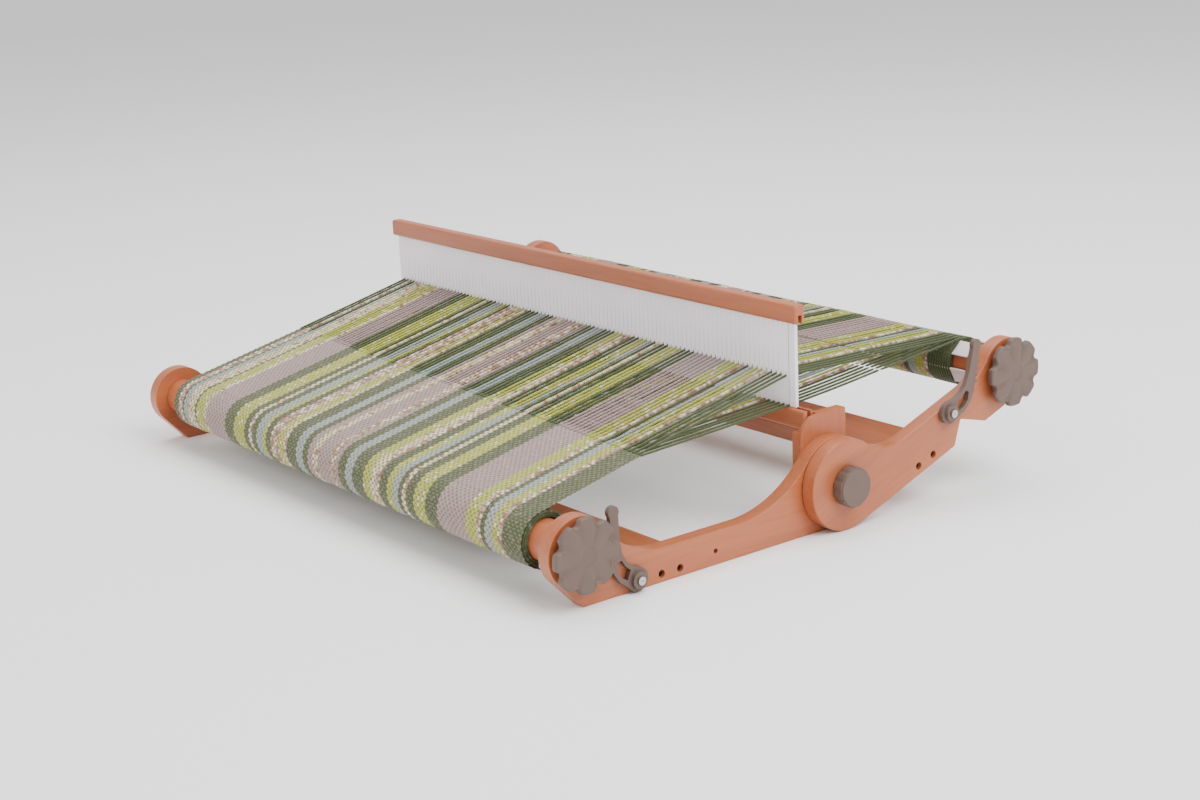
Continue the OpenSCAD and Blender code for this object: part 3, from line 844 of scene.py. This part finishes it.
class LOOM_OT_warp(Piece, bpy.types.Operator):
    """The warp: every end from the fell through the reed to the warp roller"""

    bl_idname = "loom.warp"
    bl_label = "Warp"

    def layer(self, name, which, first, last, rings, blend, nodes=()):
        draw = np.random.default_rng(len(name) * 7 + rings)
        paths = lines(first, last, rings, 0.8 * MM, draw)
        made = yarn_tubes(name, paths, which, self.sizes, self.hues, draw)
        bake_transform(made)
        if nodes:
            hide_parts(*nodes)

    def spots(self, which, pitch, y, z):
        """A point for each end; y and z are numbers, or functions of x and of y."""
        x = end_x(pitch)[which]
        ys = y(x) if callable(y) else np.full(len(x), y)
        return np.stack([x, ys, z(ys) if callable(z) else np.full(len(x), z)], -1)

    def execute(self, context):
        threads = np.arange(len(ENDS))
        for tag, which, z in (("upper", threads[::2], EYE_Z), ("lower", threads[1::2], SLOT_Z)):
            fell = self.spots(which, END_PITCH_CLOTH, fell_y, web_z)
            fell[:, 2] -= 0.4 * MM
            fell[:, 1] -= 1.5 * MM
            reed = self.spots(which, END_PITCH_REED, REED_Y, z)
            level = web_z(FELL_MIDDLE)
            start, end = (0, FELL_MIDDLE + 18 * MM, level), (0, REED_Y - 4 * MM, level)
            self.layer("warp_front_" + tag + "_ends", which, fell, reed, 60,
                       ("front_frame", "reed", start, end), ["warp_front_" + tag])
            touch = tangent_from((REED_Y, z), REAR_AXIS, WARP_R)
            middle, height = (REED_Y + touch[0]) / 2, (z + touch[1]) / 2
            half = self.spots(which, (END_PITCH_REED + END_PITCH_ROLL) / 2, middle, height)
            far = self.spots(which, END_PITCH_ROLL, touch[0], touch[1])
            self.layer("warp_rear_" + tag + "_ends", which, reed, half, 36,
                       ("front_frame", "reed", (0, middle - 6 * MM, z), (0, REED_Y + 4 * MM, z)),
                       ["warp_rear_" + tag])
            self.layer("warp_back_" + tag + "_ends", which, half, far, 36,
                       ("front_frame", "rear_frame", (0, middle + 4 * MM, z), (0, touch[0] - 4 * MM, z)))
        self.roll()
        return {"FINISHED"}

    def roll(self):
        """The wound warp: turns of yarn lying side by side, a little uneven."""
        draw = np.random.default_rng(41)
        per_end, round_steps = 5, 72
        across = len(ENDS) * per_end
        x = (np.arange(across + 1) / across - 0.5) * len(ENDS) * END_PITCH_ROLL
        inside = (np.arange(across + 1) % per_end) / per_end
        crown = np.sqrt(np.maximum(1 - (2 * inside - 1) ** 2, 0))
        which = np.minimum(np.arange(across + 1) // per_end, len(ENDS) - 1)
        lumps = draw.random((len(ENDS), round_steps))
        lumps *= np.where(IS_FANCY, 0.9, 0.25)[:, None] * MM
        turn = np.arange(round_steps) * 2 * pi / round_steps
        radius = WARP_R - 1.6 * MM + 1.1 * MM * crown[:, None] - lumps[which] * 0.6
        radius += 0.35 * MM * np.sin(x * 30)[:, None] * np.sin(turn * 4)
        points = around(REAR_AXIS, x[:, None], radius, turn)
        # Painted shade: each turn darkens towards its sides, to 0.55 of its colour where it meets the next
        # turn.
        shades = dye(self.hues, round_steps, draw)[which] * (0.55 + 0.45 * crown[:, None, None])
        run = np.stack(np.broadcast_arrays(turn * WARP_R / CM, inside[:, None]), -1)
        faces = quads(across + 1, round_steps, wrap=True)
        mesh = woven_mesh("warp_wound", points, faces, shades, run)
        bm = bmesh.new()
        bm.from_mesh(mesh)
        rim = [e for e in bm.edges if e.is_boundary]
        out = bmesh.ops.extrude_edge_only(bm, edges=rim)
        for corner in (v for v in out["geom"] if isinstance(v, bmesh.types.BMVert)):
            middle = Vector((corner.co.x, *REAR_AXIS))
            corner.co = middle + (corner.co - middle) * 0.84
        bm.to_mesh(mesh)
        bm.free()
        made = publish("warp_wound", mesh, yarn_finish("yarn", TWIST, PLY_RIDGE))
        settle(made, "warp_roll")


def weave(hues, sizes, picks, first_pick, draw):
    """Plain weave, four points to each crossing each way: heights, colours with painted shade in the
    hollows, places across and shares along.
    """
    per = 4
    ends = len(ENDS)
    u = (np.arange(ends * per) + 0.5) / per
    v = (np.arange(picks * per) + 0.5) / per
    end, pick = u.astype(int), v.astype(int)
    lies = np.cos(pi * (pick[:, None] + first_pick + end[None]))
    under = -lies * np.abs(np.sin(pi * u))[None] ** 0.5
    over = lies * np.abs(np.sin(pi * v))[:, None] ** 0.5
    bulge_u = np.sqrt(np.maximum(1 - ((u % 1) * 2 - 1) ** 2 * 0.9, 0))[None]
    bulge_v = np.sqrt(np.maximum(1 - ((v % 1) * 2 - 1) ** 2 * 0.9, 0))[:, None]
    lift = np.where(IS_FANCY, 1.35, 1.0)[end][None]
    warp_top = sizes.relief * (over * lift * 0.8 + bulge_u * 1.1 + 0.95)
    weft_top = sizes.relief * (under * 0.9 + bulge_v * 1.3 - 0.45)
    height = np.maximum(warp_top, weft_top)
    warp_dye = dye(hues, picks, draw)[end].transpose(1, 0, 2)[pick]
    weft = np.array(tuple(hues.weft)) * (1 + 0.1 * (draw.random((picks, ends, 1)) - 0.5))
    weft_dye = weft[pick][:, end]
    on_top = (warp_top > weft_top)[..., None]
    # Painted shade: the colour darkens the lower a point lies in the weave, down to three tenths of it in
    # the deepest hollows.
    hollow = np.clip(height / (sizes.relief * 2.1), 0, 1)[..., None]
    dyes_and_shade = np.where(on_top, warp_dye, weft_dye) * (0.3 + 0.7 * hollow)
    return height, dyes_and_shade, (u / ends - 0.5) * ends * END_PITCH_CLOTH, (v - v[0]) / (v[-1] - v[0])


class LOOM_OT_cloth(Piece, bpy.types.Operator):
    """The finished web: the flat length up to the fell, and the turns on the cloth roller"""

    bl_idname = "loom.cloth"
    bl_label = "Cloth"

    def execute(self, context):
        self.flat()
        self.outer_turn()
        self.inner_turns()
        return {"FINISHED"}

    def flat(self):
        long = (FELL_MIDDLE - WEB_START[0]) / cos(atan2(WEB_SLOPE, 1))
        picks = round(long / self.sizes.pick)
        height, dyes_and_shade, x, share = weave(self.hues, self.sizes, picks, 0, np.random.default_rng(5))
        y = WEB_START[0] + share[:, None] * (fell_y(x) - WEB_START[0])
        z = web_z(y) + height - 0.9 * MM
        points = np.stack([np.broadcast_to(x, y.shape), y, z], -1)
        mesh = woven_mesh("web_flat", points, quads(*y.shape), dyes_and_shade)
        made = publish("web_flat", mesh, cloth_finish())
        settle(made, "woven_cloth")

    def outer_turn(self):
        first = atan2(WEB_START[1] - FRONT_AXIS[1], WEB_START[0] - FRONT_AXIS[0])
        long = 2 * pi * CLOTH_R
        picks = round(long / self.sizes.pick)
        picks += picks % 2
        height, dyes_and_shade, x, share = weave(self.hues, self.sizes, picks, 1, np.random.default_rng(6))
        turn = (first + share * 2 * pi)[:, None]
        radius = CLOTH_R - 0.9 * MM - 0.9 * MM * share[:, None] + height
        points = around(FRONT_AXIS, x, radius, turn)
        mesh = woven_mesh("web_rolled", points, quads(*radius.shape), dyes_and_shade)
        made = publish("web_rolled", mesh, cloth_finish())
        settle(made, "cloth_roll")

    def inner_turns(self):
        """The turns beneath, seen as a spiral at the roll's ends."""
        turns, steps = 3, 96
        outer, inner = CLOTH_R - 1.6 * MM, 20.6 * MM
        share = np.linspace(0, 1, turns * steps + 1)
        radius = outer + (inner - outer) * share
        turn = share * turns * 2 * pi
        x = end_x(END_PITCH_CLOTH)
        x = np.linspace(x[0] - 1.5 * MM, x[-1] + 1.5 * MM, len(ENDS))
        wander = 0.5 * MM * np.sin(turn * 1.7)
        across = np.repeat(x[:, None], len(turn), 1)
        across[[0, -1]] += wander
        points = around(FRONT_AXIS, across, radius, turn)
        # Painted shade: the wound turns seen at the roll's ends are a fifth darker than their yarn.
        dyes_and_shade = dye(self.hues, len(turn), np.random.default_rng(8)) * 0.8
        mesh = woven_mesh("web_wound", points, quads(len(x), len(turn))[:, ::-1], dyes_and_shade)
        made = publish("web_wound", mesh, cloth_finish())
        thick = made.modifiers.new("thickness", "SOLIDIFY")
        thick.thickness = 1.5 * MM
        thick.offset = 0
        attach(made, BODY_OF["cloth_roll"])
        long = float((radius[:-1] * np.diff(turn)).sum())


# ---------------------------------------------------------------------------
# Stage
# ---------------------------------------------------------------------------


class LOOM_OT_stage(Piece, bpy.types.Operator):
    """Pale floor, soft studio light and the camera"""

    bl_idname = "loom.stage"
    bl_label = "Stage"

    LENS = 60.746
    LOOKS_AT = Vector((0.1006, -0.0203, 0.0856))
    HEADING, PITCH, ROLL = radians(52.676), radians(15.319), radians(-2.545)
    DISTANCE = 2.1375

    def execute(self, context):
        self.floor()
        self.lights(context)
        self.camera(context)
        return {"FINISHED"}

    def floor(self):
        reach, steps = 6.0, 24
        spread = np.linspace(-reach, reach, steps)
        x, y = np.meshgrid(spread, spread, indexing="ij")
        points = np.stack([x, y, np.zeros_like(x) - 0.0002], -1)
        f = Finish("floor", roughness=0.75, specular_ior_level=0.2)
        fine = f.noise(f.place((1, 1, 1)), 60.0, 3.0)
        f.colour(f.mix(fine * 0.5, (0.95, 0.95, 0.95), (0.93, 0.93, 0.93)))
        mesh = woven_mesh("floor", points, quads(steps, steps)[:, ::-1])
        publish("floor", mesh, f.material)

    def lights(self, context):
        world = bpy.data.worlds.new("studio")
        world.use_nodes = True
        sky = world.node_tree.nodes["Background"]
        sky.inputs["Color"].default_value = (1, 1, 1, 1)
        sky.inputs["Strength"].default_value = 0.9
        context.scene.world = world
        for name, place, size, power in (
            ("key", (2.4, 0.4, 2.6), 2.4, 130.0),
            ("top", (-0.4, 0.6, 3.0), 3.0, 70.0),
            ("front", (-0.6, -3.0, 1.4), 2.6, 40.0),
        ):
            light = bpy.data.lights.new(name, "AREA")
            light.shape, light.size, light.energy = "SQUARE", size, power
            lamp = bpy.data.objects.new(name, light)
            lamp.location = place
            aim = Vector((0, 0, 0.1)) - Vector(place)
            lamp.rotation_euler = aim.to_track_quat("-Z", "Y").to_euler()
            context.scene.collection.objects.link(lamp)

    def camera(self, context):
        back = Vector((
            sin(self.HEADING) * cos(self.PITCH), -cos(self.HEADING) * cos(self.PITCH), sin(self.PITCH)
        ))
        right = (-back).cross(Vector((0, 0, 1))).normalized()
        up = right.cross(-back)
        across = cos(self.ROLL) * right + sin(self.ROLL) * up
        upward = cos(self.ROLL) * up - sin(self.ROLL) * right
        camera = bpy.data.objects.new("camera", bpy.data.cameras.new("camera"))
        camera.data.sensor_width = 36
        camera.data.lens = self.LENS
        camera.data.clip_end = 50
        place = Matrix((across, upward, back)).transposed().to_4x4()
        place.translation = self.LOOKS_AT + back * self.DISTANCE
        camera.matrix_world = place
        context.scene.collection.objects.link(camera)
        context.scene.camera = camera


# ---------------------------------------------------------------------------
# Add-on
# ---------------------------------------------------------------------------

PIECES = (
    LOOM_OT_timber,
    LOOM_OT_reed,
    LOOM_OT_ratchets,
    LOOM_OT_fittings,
    LOOM_OT_warp,
    LOOM_OT_cloth,
    LOOM_OT_stage,
)


class LOOM_PT_panel(bpy.types.Panel):
    """Lists the loom's pieces and settings"""

    bl_label = "Loom"
    bl_idname = "LOOM_PT_panel"
    bl_space_type = "VIEW_3D"
    bl_region_type = "UI"
    bl_category = "Loom"

    def draw(self, context):
        for group in (context.scene.loom_sizes, context.scene.loom_colours):
            box = self.layout.box()
            for setting in group.__annotations__:
                box.prop(group, setting)
        for piece in PIECES:
            self.layout.operator(piece.bl_idname)


CLASSES = (LoomSizes, LoomColours, *PIECES, LOOM_PT_panel)


def register():
    for cls in CLASSES:
        bpy.utils.register_class(cls)
    bpy.types.Scene.loom_sizes = bpy.props.PointerProperty(type=LoomSizes)
    bpy.types.Scene.loom_colours = bpy.props.PointerProperty(type=LoomColours)


def unregister():
    del bpy.types.Scene.loom_colours
    del bpy.types.Scene.loom_sizes
    for cls in reversed(CLASSES):
        bpy.utils.unregister_class(cls)


def main():
    register()
    for piece in PIECES:
        group, name = piece.bl_idname.split(".")
        getattr(getattr(bpy.ops, group), name)()


if __name__ == "__main__":
    main()
